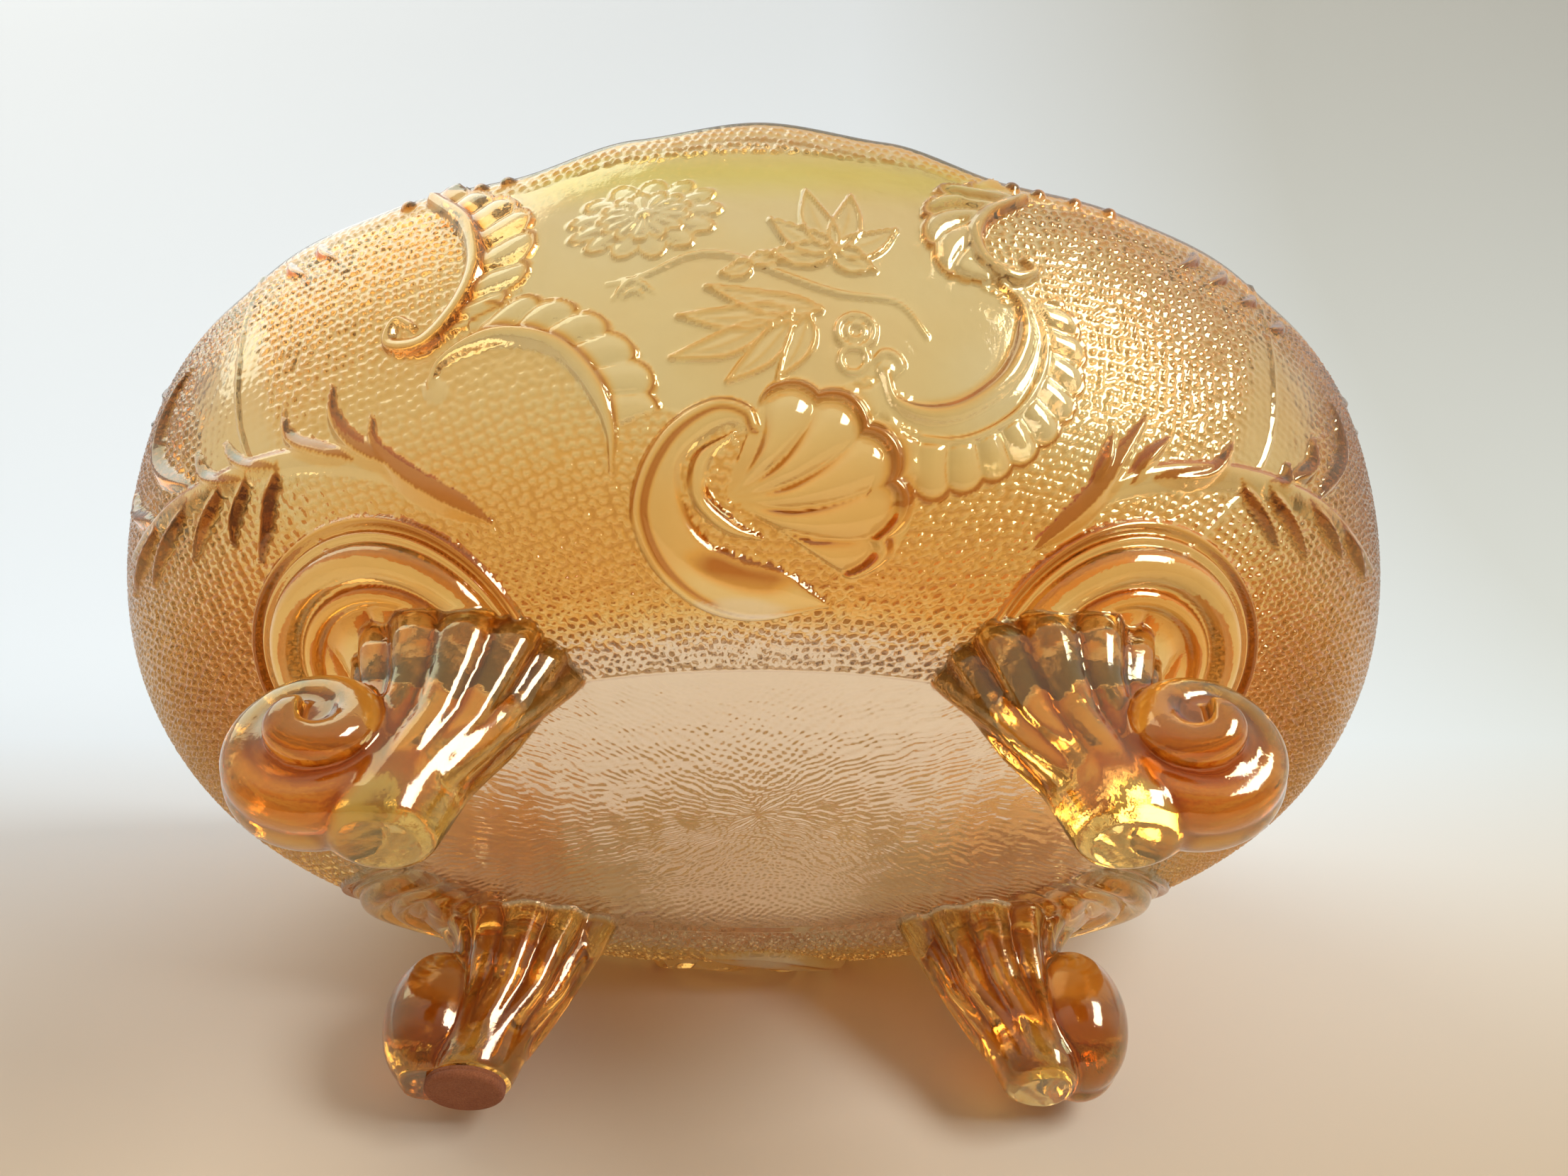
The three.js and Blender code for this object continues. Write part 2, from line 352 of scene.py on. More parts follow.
def lower_right_scroll(panel):
    ridge = [
        (13.5, 0.53), (15, 0.49), (19, 0.475), (23, 0.495),
        (26.3, 0.55), (27.4, 0.62), (26.4, 0.69), (24, 0.725),
    ]
    band = [(16, 0.455), (19.5, 0.44), (24, 0.45), (28, 0.5), (29.6, 0.57), (29.2, 0.64), (27.4, 0.7)]
    border = [(18, 0.33), (24, 0.35), (29.5, 0.4), (33, 0.47), (34.3, 0.55), (33.3, 0.65), (30, 0.73)]
    panel.fan(band, border, 10, height=1.6, slant=0.05, reach=17)
    panel.crescent(ridge, band, 0.9, reach=8)
    panel.ridge(ridge, 2.2, 2.1, start=0.4, end=0.3, lean=0.2)
    panel.ridge(band, 1.0, 1.7, start=0.4, end=0.4)
    panel.ridge([(12, 0.55), (13.5, 0.565), (15, 0.55), (14.6, 0.53)], 1.1, 1.1, start=0.4, end=0.4)
    panel.bead((13.6, 0.54), 1.9, 1.0)
    panel.ridge([(14.5, 0.47), (17, 0.42), (20.5, 0.36)], 1.8, 1.1, start=0.4, end=0.2)


def cartouche(panel):
    panel.clear_inside([
        (-25, 0.95), (-22, 0.82), (-24, 0.69), (-17, 0.64), (-10.5, 0.47), (0, 0.44), (12, 0.53),
        (20, 0.48), (27, 0.56), (27, 0.67), (20, 0.73), (16, 0.8), (20, 0.95), (0, 0.91),
    ])
    panel.rosette((-11.5, 0.795), 13.5, 9.5, 13)
    stem = [
        (-15.5, 0.68), (-11.5, 0.69), (-7, 0.715), (-3, 0.71),
        (2, 0.68), (8, 0.655), (14, 0.65), (17.5, 0.6),
    ]
    panel.ridge(stem, 0.75, 0.75, start=0.5, end=0.5)
    panel.ridge([(-15, 0.655), (-13, 0.68), (-10.8, 0.66)], 0.8, 0.75, start=0.4, end=0.4)
    panel.ridge([(-14, 0.655), (-12.8, 0.665), (-12, 0.655)], 0.7, 0.7, start=0.5, end=0.5)
    right_leaf = (
        ((0.5, 0.71), 0.05), ((1, 0.77), 0.08), ((4.5, 0.83), 0.06),
        ((9, 0.835), -0.05), ((13.5, 0.78), -0.08), ((11.5, 0.7), -0.05),
    )
    for tip, bend in right_leaf:
        outlined_leaf(panel, (7.5, 0.725), tip, 2.6, bend)
    left_leaf = (
        ((6, 0.625), (-5.5, 0.66)), ((3, 0.62), (-8.5, 0.615)), ((1, 0.6), (-9.5, 0.55)),
        ((3, 0.6), (-3.5, 0.51)), ((5, 0.61), (2, 0.515)),
    )
    for root, tip in left_leaf:
        outlined_leaf(panel, root, tip, 2.2, 0.06)
    for tip in ((-4, 0.68), (2.5, 0.7)):
        outlined_leaf(panel, (-1, 0.695), tip, 1.6, 0.1)
    panel.ring((10, 0.595), 3.1, 0.8, 0.9)
    panel.ring((10, 0.595), 1.5, 0.7, 0.8)
    panel.ring((10, 0.55), 2.3, 0.7, 0.8)


def outlined_leaf(panel, root, tip, width, bend):
    """A leaf lobe drawn by a thin raised outline, a vein and a slight dome."""
    root, tip = np.array(root, float), np.array(tip, float)
    along = (tip - root) * SHARE_TO_DEGREES
    normal = np.array([-along[1], along[0]])
    line = curve([root, (root + tip) / 2 + normal * bend / SHARE_TO_DEGREES, tip])
    at, distance, s, _ = panel.near(line, width * 1.4)
    half = width * np.sin(math.pi * np.clip(s, 0.02, 0.98) ** 0.7)
    outline = np.exp(-(((distance - half) / 0.4) ** 2))
    vein = np.exp(-((distance / 0.35) ** 2)) * smooth(1, 0.6, s)
    dome = 0.45 * np.clip(1 - distance / np.maximum(half, 0.1), 0, 1) ** 0.5
    panel.raise_to(at, np.maximum(np.maximum(1.15 * outline, 0.7 * vein), 1.3 * dome))
    panel.add_film_and_shade(at, 0.45 * np.maximum(outline, 0.6 * vein))


def shell(panel):
    """A comma-shaped horn curling round a fan of five sweeping flutes."""
    outer = [
        (-0.5, 0.44), (-1.5, 0.465), (-5, 0.475), (-10, 0.44), (-14, 0.375), (-16, 0.3), (-14.5, 0.215),
        (-9, 0.15), (0, 0.125), (12, 0.15),
    ]
    inner = [
        (-1.2, 0.43), (-3, 0.44), (-6, 0.425), (-9.5, 0.38), (-9.5, 0.32), (-7, 0.265), (-2, 0.235),
        (4, 0.215), (12, 0.155),
    ]
    edge = [(0, 0.49), (4, 0.5), (9, 0.485), (13.5, 0.44), (17, 0.38), (18, 0.31), (17, 0.25), (13, 0.2)]
    panel.crescent(outer, inner, 2.9, reach=17, tone=0.7)
    panel.ridge(outer, 1.6, 2.4, start=0.7, end=0.3, lean=0.2)
    inner_curl = [(-3, 0.43), (-7, 0.39), (-7.5, 0.33), (-4, 0.285), (0.5, 0.265)]
    panel.ridge(inner_curl, 1.8, 2.8, start=0.3, end=0.3)
    shell_fan(panel, (-4.5, 0.33), edge, 5)


def shell_fan(panel, focus, edge, count):
    """Flutes that sweep from a focus out to a thick scalloped border."""
    per_degree, per_share = scale_at(focus)
    x, y = ((np.array(edge) - focus) * [per_degree, per_share]).T
    angles, reaches = np.arctan2(y, x)[::-1], np.hypot(x, y)[::-1]
    x, y = panel.offsets(focus)
    angle, distance = np.arctan2(y, x), np.hypot(x, y)
    reach = np.interp(angle, angles, reaches)
    place = (angle - angles[0]) / (angles[-1] - angles[0])
    across = distance / reach
    lobe = np.abs(np.sin(math.pi * count * np.clip(place + 0.28 * (1 - across), 0, 1)))
    limit = 0.9 + 0.08 * lobe**0.7
    at = np.nonzero((place > 0) & (place < 1) & (across < 1.25))[0]
    lobe, across, limit = lobe[at], across[at], limit[at]
    shoulder = np.clip(1 - (across / limit) ** 6, 0, 1) ** 0.5
    body = (0.35 + 0.65 * lobe**0.8) * shoulder * smooth(0.1, 0.45, across)
    ends = smooth(0, 0.03, place[at]) * smooth(1, 0.97, place[at])
    panel.raise_to(at, 2.7 * body * ends)
    border = np.exp(-(((across - limit - 0.05) / 0.05) ** 2)) * ends
    panel.raise_to(at, 2.5 * border)
    panel.add_film_and_shade(at, 0.9 * border**0.5 * smooth(0.15, 0.45, place[at]))
    # painted shade in the grooves between the lobes
    panel.add_film_and_shade(at, 0.1 * (1 - lobe) * (across < limit))
    panel.polish(at[across < 1.1])


LEAF_BREADTH = 1.35  # every leaf of the sprays is this much broader than its listed width


def spray(panel, stem, upper, lower, side):
    """A stem with leaves, each a line and a width, above and below it."""
    panel.ridge(stem, 2.9, 1.5, start=0.25, end=0.3, lean=0.3 * side, film=0.4)
    for leaves, steep_side in ((upper, side), (lower, -side)):
        for points, width in leaves:
            panel.blade(points, width * LEAF_BREADTH, steep_side)


def left_spray(panel):
    stem = [
        (-34, 0.33), (-38, 0.4), (-42, 0.46), (-47, 0.51),
        (-54, 0.55), (-61, 0.58), (-68, 0.615), (-75, 0.65),
    ]
    upper = (
        ([(-34, 0.335), (-38, 0.39), (-40.5, 0.44), (-42, 0.505), (-41, 0.56)], 2.6),
        ([(-39.5, 0.44), (-43.5, 0.5), (-45, 0.57), (-44, 0.635)], 2.1),
        ([(-44.5, 0.49), (-48, 0.53), (-50, 0.57), (-50, 0.625)], 2.0),
        ([(-52, 0.53), (-55, 0.56), (-56.5, 0.595), (-57, 0.64)], 1.6),
        ([(-56, 0.545), (-59, 0.575), (-60.5, 0.61), (-60.5, 0.665)], 1.6),
        ([(-62, 0.6), (-66, 0.69), (-66.5, 0.77), (-64, 0.85), (-61, 0.88)], 2.2),
        ([(-69, 0.63), (-72, 0.69), (-72.5, 0.76)], 1.7),
    )
    lower = (
        ([(-52, 0.54), (-54.5, 0.5), (-56.5, 0.455), (-59.5, 0.405)], 1.9),
        ([(-55.5, 0.555), (-59, 0.5), (-61, 0.455)], 1.6),
        ([(-58.5, 0.57), (-62, 0.535), (-66, 0.49)], 1.9),
        ([(-63, 0.59), (-68, 0.565), (-73, 0.535)], 1.9),
        ([(-68, 0.615), (-72, 0.6), (-77, 0.59)], 1.6),
    )
    spray(panel, stem, upper, lower, -1)


def right_spray(panel):
    stem = [(35.5, 0.29), (38, 0.37), (42, 0.44), (47, 0.49), (52.5, 0.53), (60, 0.57), (68, 0.6), (75, 0.63)]
    upper = (
        ([(36.5, 0.3), (39, 0.38), (40, 0.435), (40.5, 0.49), (41.5, 0.57)], 2.4),
        ([(39, 0.41), (39, 0.47), (38.5, 0.52)], 1.6),
        ([(42.5, 0.445), (43, 0.49), (44.5, 0.545)], 1.7),
        ([(44.5, 0.465), (49, 0.5), (50.5, 0.535), (51, 0.59)], 2.1),
        ([(56, 0.555), (58, 0.575), (57.5, 0.62)], 1.5),
        ([(58.5, 0.585), (60.5, 0.64), (60, 0.71)], 1.7),
        ([(62.5, 0.6), (64.5, 0.7), (64.5, 0.77), (63, 0.85)], 1.9),
    )
    lower = (
        ([(53, 0.53), (57, 0.5), (61, 0.465)], 1.8),
        ([(56, 0.55), (60, 0.525), (64.5, 0.49)], 1.8),
        ([(61, 0.58), (65, 0.57), (69, 0.55)], 1.7),
        ([(66, 0.6), (70, 0.595), (74, 0.58)], 1.6),
    )
    spray(panel, stem, upper, lower, 1)


def rim_sprays(panel):
    """Small leaflets that hang from the rim near the mould seams and at the ends, and rim beads."""
    for side, leaflets in ((-1, 2), (1, 4)):
        for k in range(leaflets):
            start, top = side * (46 + 3.5 * k), 0.975 - 0.008 * k
            line = [(start, top), (start - side, top - 0.04), (start - side * 3, top - 0.075)]
            panel.blade(line, 1.8, side, 1.3)
        for k in range(5):
            start = side * (70 + 4.2 * k)
            line = [(start, 0.985), (start - side * 0.5, 0.95), (start - side * 2, 0.91)]
            panel.blade(line, 1.4, side, 1.1)
        panel.beads([(side * 25.5, 0.985), (side * 30, 0.98), (side * 36, 0.98)], 4, 1.6, 1.3)


KNEE_RINGS = ((26.6, 1.1, 1.6), (24.2, 0.7, 0.9), (20.0, 3.2, 2.2), (14.5, 2.0, 1.5))
KNEE_FLUTES = 7
FLUTE_FOCUS = KNEE + [-3, 0, -10]


def knee_arches(panel):
    """Rings of (radius, half width, height) round each knee, and a fluted dome inside them."""
    distance = knee_distance(panel.points)
    lower = smooth(0.5, 0.33, panel.v)
    for radius, width, height in KNEE_RINGS:
        at = np.nonzero(np.abs(distance - radius) < width)[0]
        body = (1 - ((distance[at] - radius) / width) ** 2) ** 0.8
        panel.raise_to(at, height * body * lower[at])
    away = folded(panel.points) - FLUTE_FOCUS
    turn = np.arctan2(away[:, 2], away[:, 0])
    dome = smooth(20, 14, np.linalg.norm(away, axis=1)) * (distance < 18)
    flutes = np.abs(np.cos(turn * KNEE_FLUTES)) ** 0.6 * dome
    panel.height = np.maximum(panel.height, 2.0 * flutes * lower)
    # painted shade between the dome's flutes
    panel.tone = np.maximum(panel.tone, 0.45 * (1 - flutes) * smooth(17, 12, distance) * lower)
    panel.polish(distance < 27.5)
    rim = np.exp(-(((distance - 26.0) / 1.1) ** 2)) * lower
    panel.tone = np.maximum(panel.tone, 0.8 * rim)


def seams(panel):
    """The fine lines where the mould's sections meet, in a strip with little stipple."""
    for side in (-1, 1):
        line = [(side * 53.5, 1.0), (side * 54, 0.8), (side * 55, 0.6), (side * 53, 0.45), (side * 51, 0.3)]
        panel.ridge(line, 0.55, 0.5)
    strip = smooth(6, 3, np.abs(np.abs(panel.u) - 56)) * smooth(0.5, 0.58, panel.v)
    panel.grain *= 1 - 0.85 * (strip * smooth(0.9, 0.8, panel.v))


def base_edge(panel):
    """The crisp line where the underside turns into the wall."""
    line = np.exp(-((panel.v / 0.008) ** 2))
    panel.height = np.maximum(panel.height, 0.7 * line)
    panel.tone = np.maximum(panel.tone, 0.5 * line)
    panel.grain *= 1 - line


DOT_PITCH = 1.9
DOT_ROW_PITCH = 1.7
DOT_RADIUS = 0.8
DOT_STRAY = 0.17  # how far a dot may be off its place, as a share of the pitch
DOT_HEIGHT = 0.5
DOT_EXTRA_HEIGHT = 0.35  # more on the lower wall


def stipple(panel):
    """Pebbled ground: wandering rows of small raised dots, each a little out of place."""
    rows = int(WALL_ARC / DOT_ROW_PITCH)
    shape = panel.share.shape
    step = np.linalg.norm(np.diff(panel.points.reshape(*shape, 3), axis=1), axis=-1)
    place = np.concatenate([np.zeros((shape[0], 1)), np.cumsum(step, axis=1)], axis=1).ravel()
    whole_row = place.reshape(shape)[:, -1:].repeat(shape[1], axis=1).ravel()
    level = panel.v * rows + 1.1 * np.sin(panel.u / 9) + 0.4 * np.sin(panel.u / 4.1 + panel.v * 9)
    place = place + 1.2 * np.sin(panel.v * 13 + panel.u / 9)
    best = np.full(panel.u.size, 9.0)
    for near_row in (-1, 0, 1, 2):
        row = np.floor(level) + near_row
        count = np.round(whole_row / DOT_PITCH)
        shift = 0.5 * (row % 2)
        for near_dot in (0, 1):
            dot = np.floor(place / whole_row * count - shift) + near_dot
            aside, above = scatter(row, dot), scatter(dot, row)
            dx = place - (dot + shift + DOT_STRAY * aside) / count * whole_row
            dy = (level - row - DOT_STRAY * above) * DOT_ROW_PITCH
            best = np.minimum(best, np.hypot(dx, dy))
    dots = np.clip(1 - (best / DOT_RADIUS) ** 2, 0, 1) ** 0.7
    amount = panel.grain * smooth(0.35, 0.1, panel.height) * smooth(1.0, 0.965, panel.v)
    panel.height += (DOT_HEIGHT + DOT_EXTRA_HEIGHT * smooth(0.5, 0.25, panel.v)) * dots * amount
    high = smooth(0.45, 0.75, panel.v)
    panel.tone = np.maximum(panel.tone, amount * (0.6 * dots * high + 0.4 * (1 - dots) * (1 - high)))


def scatter(first, second):
    """A number from -1 to 1 that looks random but is fixed by two whole numbers."""
    wave = np.sin(first * 12.9898 + second * 78.233) * 43758.5453
    return 2 * (wave - np.floor(wave)) - 1


# how dark the painted shade on steep flanks gets
FLANK_SHADE = 0.68


def painted_flank_shade(panel):
    """Painted shade: deeper amber on steep flanks, most of all on those that face the rim."""
    shape = panel.share.shape
    height = panel.height.reshape(shape)
    up = np.gradient(height, axis=0) / (WALL_ARC / ROWS)
    step = np.linalg.norm(np.diff(panel.points.reshape(*shape, 3), axis=1), axis=-1)
    step = np.concatenate([step, step[:, -1:]], axis=1)
    across = np.gradient(height, axis=1) / step
    steep = smooth(0.35, 1.1, np.hypot(up, across)) * smooth(0.2, -0.5, up)
    ground = 1 - 0.7 * panel.grain.reshape(shape)
    panel.tone = np.maximum(panel.tone, (FLANK_SHADE * steep * ground).ravel())


MOTIFS = (
    cartouche, upper_left_scroll, lower_left_scroll, upper_right_scroll, lower_right_scroll,
    shell, left_spray, right_spray, rim_sprays, knee_arches, seams, base_edge, stipple, painted_flank_shade,
)


def relief():
    """Half a wall with everything drawn on it, the ground and the painted flank shade last."""
    panel = Panel()
    for draw in MOTIFS:
        draw(panel)
    return panel


# --- meshes ---

def placed(name, data):
    """A new object in the scene."""
    made = bpy.data.objects.new(name, data)
    bpy.context.scene.collection.objects.link(made)
    return made


def mesh_object(name, points, faces):
    mesh = bpy.data.meshes.new(name)
    mesh.from_pydata((np.asarray(points) * MM).tolist(), [], faces)
    mesh.update()
    return placed(name, mesh)


def points_of(mesh):
    """The mesh's points, in metres."""
    points = np.empty(len(mesh.vertices) * 3)
    mesh.vertices.foreach_get("co", points)
    return points.reshape(-1, 3)


def shade_smooth(mesh):
    mesh.polygons.foreach_set("use_smooth", [True] * len(mesh.polygons))


def turns(count, start=0):
    """Evenly spaced angles round a circle."""
    return np.radians(start + np.arange(count) * 360 / count)


def stitched(rings):
    """Points and faces of a closed skin through rings whose counts stay, double or halve."""
    points = np.vstack(rings)
    faces = []
    first = 0
    for low, high in zip(rings, rings[1:]):
        a, b = len(low), len(high)
        second = first + a
        small = min(a, b)
        for k in range(small):
            n = (k + 1) % small
            if a == b:
                faces.append((first + k, first + n, second + n, second + k))
            elif b == 2 * a:
                m, e = 2 * k + 1, (2 * k + 2) % b
                faces.append((first + k, second + m, second + 2 * k))
                faces.append((first + k, first + n, second + m))
                faces.append((first + n, second + e, second + m))
            else:
                m, e = 2 * k + 1, (2 * k + 2) % a
                faces.append((first + 2 * k, first + m, second + k))
                faces.append((first + m, second + n, second + k))
                faces.append((first + m, first + e, second + n))
        first = second
    faces.append(tuple(reversed(range(len(rings[0])))))
    faces.append(tuple(range(len(points) - len(rings[-1]), len(points))))
    return points, faces


def disc_rings(count, inset, height, shares):
    """Flat oval rings from the middle outwards, with fewer points near the middle."""
    rings = []
    for share in shares:
        here = count
        while here > 80 and share < 0.8 * here / count:
            here //= 2
        angle = turns(here, 180)
        a, b = (BASE_HALF_LENGTH - inset) * share, (BASE_HALF_WIDTH - inset) * share
        rings.append(oval_point(a, b, angle, height))
    return rings


RIPPLE_HEIGHT = 0.1


def base_ripple(points):
    """The underside's fine hammered ripple, which dies out at the base edge."""
    x, y = points[:, 0], points[:, 1]
    bend = 2.2 * np.sin(x / 9.0) + 1.6 * np.sin(y / 7.0 + x / 23.0)
    waves = np.sin((y + bend) * 3.4 + 1.3 * np.sin(x * 0.9)) * np.sin(x * 2.3 + 1.7 * np.sin(y * 0.8))
    share = np.hypot(x / BASE_HALF_LENGTH, y / BASE_HALF_WIDTH)
    return RIPPLE_HEIGHT * waves * smooth(1.0, 0.93, share)


# the rounded rim from outside to inside: how far in from the wall's face, and how far up
RIM_ROUND = ((0.9, 0.75), (WALL / 2, 1.2), (WALL - 0.9, 0.75))
UNDER_SHARES = [0.012, *np.linspace(0.04, 0.985, 84)]
FLOOR_SHARES = [0.02, 0.1, 0.2, 0.35, 0.5, 0.65, 0.8, 0.92]


def bowl_skin(panel):
    """The whole bowl: rippled underside, relief wall, rounded rim, smooth inside."""
    angle = turns(COLUMNS, 180)
    height = panel.height.reshape(panel.share.shape)
    height = np.concatenate([height, height], axis=1)
    share = np.linspace(0, 1, ROWS + 1)[:, None]
    wall = wall_point(angle[None], share)
    around = np.roll(wall, -1, axis=1) - np.roll(wall, 1, axis=1)
    normal = np.cross(around, np.gradient(wall, axis=0))
    normal /= np.linalg.norm(normal, axis=-1, keepdims=True)
    wall = wall + normal * height[..., None]
    under = disc_rings(COLUMNS, 0, BASE_HEIGHT, UNDER_SHARES)
    for ring in under:
        ring[:, 2] -= base_ripple(ring)
    rings = under + list(wall)
    for every, (inset, lift) in zip((1, 2, 4), RIM_ROUND):
        ring = wall_point(angle[::every], 1.0, inset)
        ring[:, 2] += lift
        rings.append(ring)
    for share in np.linspace(1, 0, INNER_ROWS + 1):
        rings.append(wall_point(angle[::4], share, WALL, INNER_FLOOR))
    rings += disc_rings(INNER_COLUMNS, WALL, INNER_FLOOR, FLOOR_SHARES)[::-1]
    return mesh_object("carnival_glass_bowl", *stitched(rings)), wall.reshape(-1, 3)


def cavity():
    """A solid that fills the bowl down to the middle of its wall, for trimming the feet."""
    angle = turns(160, 180)
    floor = BASE_HEIGHT + FLOOR_THICKNESS / 2
    rings = [oval_point(30, 12, angle, floor), oval_point(70, 34, angle, floor)]
    rings += [wall_point(angle, share, WALL * 0.5, floor) for share in np.linspace(0, 1, 30)]
    rings.append(rings[-1] + [0, 0, 20])
    return mesh_object("cavity", *stitched(rings))


def applied(target):
    """Applies the object's modifiers to its mesh."""
    graph = bpy.context.evaluated_depsgraph_get()
    mesh = bpy.data.meshes.new_from_object(target.evaluated_get(graph))
    target.modifiers.clear()
    target.data = mesh
    return target


def combined(target, tool, operation):
    cut = target.modifiers.new("join", "BOOLEAN")
    cut.operation = operation
    cut.solver = "MANIFOLD"
    cut.object = tool
    applied(target)
    bpy.data.objects.remove(tool)
    return target


# --- feet ---
# the leg's ovals: height, how far towards the middle in x and outwards in y, half sizes in x and y
LEG_SECTIONS = [
    (0, 0, 0, 6.6, 6.6), (1.2, 0, 0, 8.6, 8.4), (4, 0, 0, 9.8, 9.3),
    (12, 2, 0, 10.6, 9.6), (20, 5, 0, 13, 10), (28, 6.5, 0, 15, 11.5),
    (35, 7, 0.5, 18, 12.8), (42, 6.5, 0, 20, 12), (52, 6, 0, 22, 12),
]
FOOT_X = 59
FOOT_Y = 43
FLUTES = 11
FLUTE_DEPTH = 0.17  # as a share of the leg's half size
VOLUTE = np.array([70.5, 43, 15.6])
VOLUTE_RADIUS = 15
VOLUTE_HALF_DEPTH = 12
FRONT_REACH = 0.06  # the scrolls of the front feet stand out a little more than those of the rear feet
REAR_REACH = -0.28
INNER_RIDGE = [(34, 40, 40), (38, 42, 33), (44, 45, 23), (50, 46, 13), (56, 45.5, 4.5)]


def leg_rings():
    angle = turns(220)
    height, *shape = np.array(LEG_SECTIONS, float).T
    for level in np.concatenate([[0, 0.5, 1.2, 2.4], np.linspace(4, 52, 40)]):
        inward, outward, half_x, half_y = (np.interp(level, height, column) for column in shape)
        depth = FLUTE_DEPTH * smooth(5, 22, level) * smooth(47, 37, level)
        wide = 1 + depth * (np.abs(np.cos(angle * FLUTES / 2)) ** 0.75 - 0.72)
        yield np.stack([
            FOOT_X - inward + half_x * wide * np.cos(angle),
            FOOT_Y + outward + half_y * wide * np.sin(angle),
            np.full_like(angle, level),
        ], axis=-1)


def tube(name, path, radii, sides=20):
    """A closed round tube with its own radius at each point of the path."""
    path = np.asarray(path, float)
    along = np.gradient(path, axis=0)
    along /= np.linalg.norm(along, axis=1, keepdims=True)
    turn = np.arange(sides) * 2 * math.pi / sides
    side = np.cross(along[0], [0.3, 1.0, 0.2])
    rings = []
    for spot, forward, radius in zip(path, along, radii):
        side = side - forward * (side @ forward)
        side /= np.linalg.norm(side)
        up = np.cross(forward, side)
        rings.append(spot + radius * (np.cos(turn)[:, None] * side + np.sin(turn)[:, None] * up))
    return mesh_object(name, *stitched(rings))


def ball(name, centre, half):
    rings = []
    turn = np.arange(48) * 2 * math.pi / 48
    for tilt in np.linspace(-0.97, 0.97, 28) * math.pi / 2:
        x, y = np.cos(turn) * math.cos(tilt), np.sin(turn) * math.cos(tilt)
        rings.append(centre + np.stack([x, y, np.full(48, math.sin(tilt))], -1) * half)
    return mesh_object(name, *stitched(rings))


def scroll_path():
    """From the toe outwards, up, over and in to the eye on the outer face."""
    turn = np.linspace(0, 1, 60)
    angle = np.radians(-150 + 520 * turn)
    radius = 10.8 * (1 - turn) ** 0.62 + 0.6
    out = 4.0 + 8.5 * smooth(0.1, 1, turn)
    path = VOLUTE + np.stack([radius * np.cos(angle), out, radius * np.sin(angle)], -1)
    return path, 5.0 - 1.6 * turn


def foot(name):
    """One foot for the +X +Y corner: fluted leg, inner ridge, ball and scroll, melted into one."""
    leg = mesh_object(name, *stitched(list(leg_rings())))
    parts = [leg, ball("volute", VOLUTE, [VOLUTE_RADIUS, VOLUTE_HALF_DEPTH - 0.5, VOLUTE_RADIUS])]
    path, radii = scroll_path()
    parts.append(tube("scroll", path, radii))
    ridge = curve(INNER_RIDGE)
    parts.append(tube("inner_ridge", ridge, np.linspace(4.4, 4.0, len(ridge))))
    for part in parts[1:]:
        combined(leg, part, "UNION")
    melt = leg.modifiers.new("melt", "REMESH")
    melt.mode = "VOXEL"
    melt.voxel_size = VOXEL * MM
    soften = leg.modifiers.new("soften", "SMOOTH")
    soften.factor = 0.5
    soften.iterations = 4
    return applied(leg)


def corner_foot(pattern, sign_x, sign_y, bottom):
    """A copy of the foot, mirrored to its corner and cut flat at the bottom height."""
    mesh = pattern.data.copy()
    points = points_of(mesh)
    beyond = np.maximum(points[:, 0] - FOOT_X * MM, 0)
    reach = REAR_REACH if sign_y > 0 else FRONT_REACH
    points[:, 0] += beyond * reach * smooth(40, 30, points[:, 2] / MM)
    points = points * [sign_x, sign_y, 1]
    points[:, 2] = np.maximum(points[:, 2], bottom * MM)
    mesh.vertices.foreach_set("co", points.ravel())
    if sign_x * sign_y < 0:
        mesh.flip_normals()
    return placed("foot", mesh)


PAD_GAP = 0.05  # between the felt pad and its foot


def whole_glass():
    """Bowl and feet as one continuous piece of glass, with its film depth and painted shade on every point.
    """
    panel = relief()
    bowl, outer = bowl_skin(panel)
    pattern = foot("foot_pattern")
    pad_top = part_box("felt_pad")[1][2] / MM
    for sign_x, sign_y in ((-1, -1), (1, -1), (-1, 1), (1, 1)):
        bottom = pad_top + PAD_GAP if (sign_x, sign_y) == (-1, 1) else 0
        leg = combined(corner_foot(pattern, sign_x, sign_y, bottom), cavity(), "DIFFERENCE")
        combined(bowl, leg, "UNION")
    bpy.data.objects.remove(pattern)
    drop_crumbs(bowl.data)
    set_film_and_shade(bowl.data, panel, outer)
    shade_smooth(bowl.data)
    return bowl


def drop_crumbs(mesh, most=12):
    """Deletes the loose crumbs of a few points that joining solids can leave."""
    shape = bmesh.new()
    shape.from_mesh(mesh)
    crumbs = set()
    for start in shape.verts:
        if len(start.link_edges) > 3 or start in crumbs:
            continue
        island, waiting = {start}, [start]
        while waiting and len(island) <= most:
            corner = waiting.pop()
            found = {edge.other_vert(corner) for edge in corner.link_edges} - island
            island |= found
            waiting += found
        if len(island) <= most:
            crumbs |= island
    bmesh.ops.delete(shape, geom=list(crumbs), context="VERTS")
    shape.to_mesh(mesh)
    shape.free()


ON_WALL = 0.4  # a point this near to the relief wall is on it
RIM_BREADTH = 4.2  # how far the rounded rim reaches from the wall's last row
RIM_FILM = 0.45


